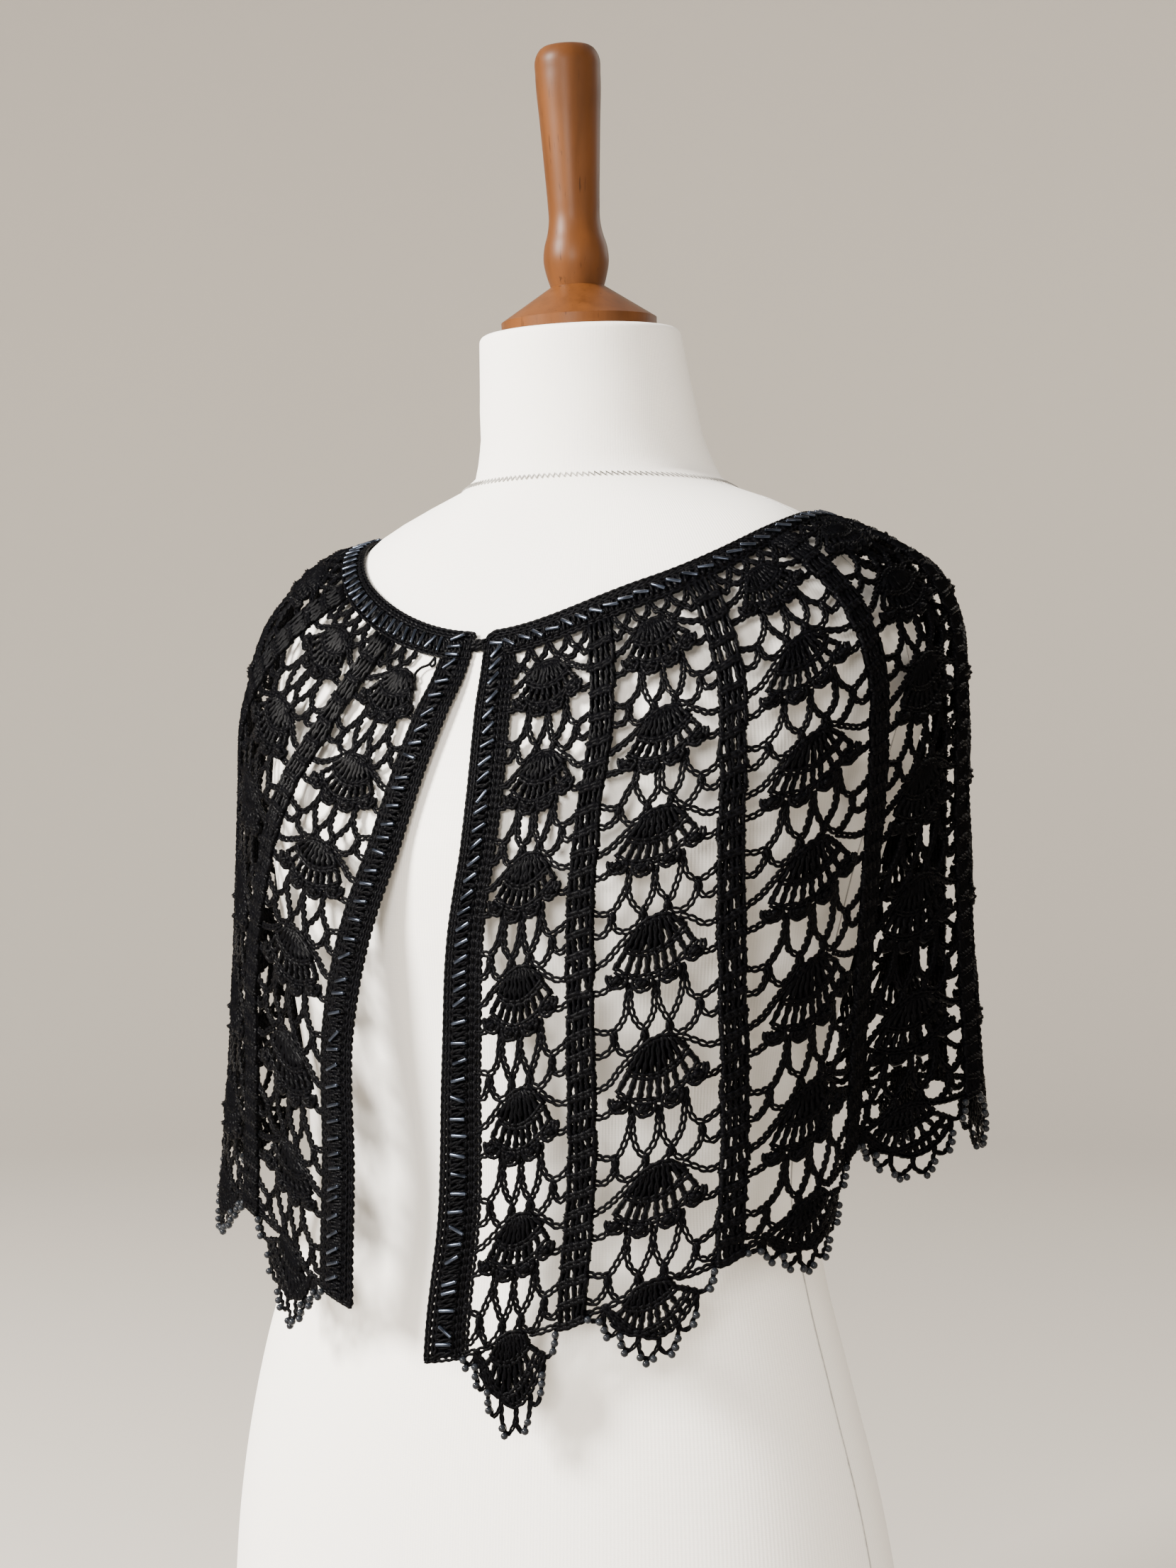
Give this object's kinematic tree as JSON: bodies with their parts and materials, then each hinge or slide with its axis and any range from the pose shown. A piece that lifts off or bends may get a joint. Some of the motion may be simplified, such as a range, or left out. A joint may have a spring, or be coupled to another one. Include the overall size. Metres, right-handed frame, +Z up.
{
  "type": "crochet cape on a dress form",
  "caption": "Lace crochet cape with scalloped hem and beaded borders, closed at the neck, worn on a headless dress form with a turned finial and round stand.",
  "frame": {"origin": "centre of the stand's underside, on the floor", "axes": "+Z up, the front of the cape faces -Y, the wearer's left is +X"},
  "size_m": [0.4006, 0.3327, 0.963],
  "materials": {
    "cape_cotton": "mercerised black crochet cotton, soft sheen",
    "form_jersey": "cream stretch jersey, matt",
    "form_wood": "mid-brown turned wood, satin"
  },
  "bodies": {
    "root": {"form_torso": "form_jersey", "neck_finial": "form_wood", "stand_pole": "form_wood", "stand_base": "form_wood", "neck_border": "cape_cotton", "neck_link": "cape_cotton", "front_border_left": "cape_cotton", "front_border_right": "cape_cotton", "lace_panel_left_1": "cape_cotton", "lace_panel_left_2": "cape_cotton", "lace_panel_left_3": "cape_cotton", "lace_panel_left_4": "cape_cotton", "lace_panel_left_5": "cape_cotton", "lace_panel_left_6": "cape_cotton", "lace_panel_left_7": "cape_cotton", "lace_panel_right_1": "cape_cotton", "lace_panel_right_2": "cape_cotton", "lace_panel_right_3": "cape_cotton", "lace_panel_right_4": "cape_cotton", "lace_panel_right_5": "cape_cotton", "lace_panel_right_6": "cape_cotton", "lace_panel_right_7": "cape_cotton"}
  },
  "joints": []
}
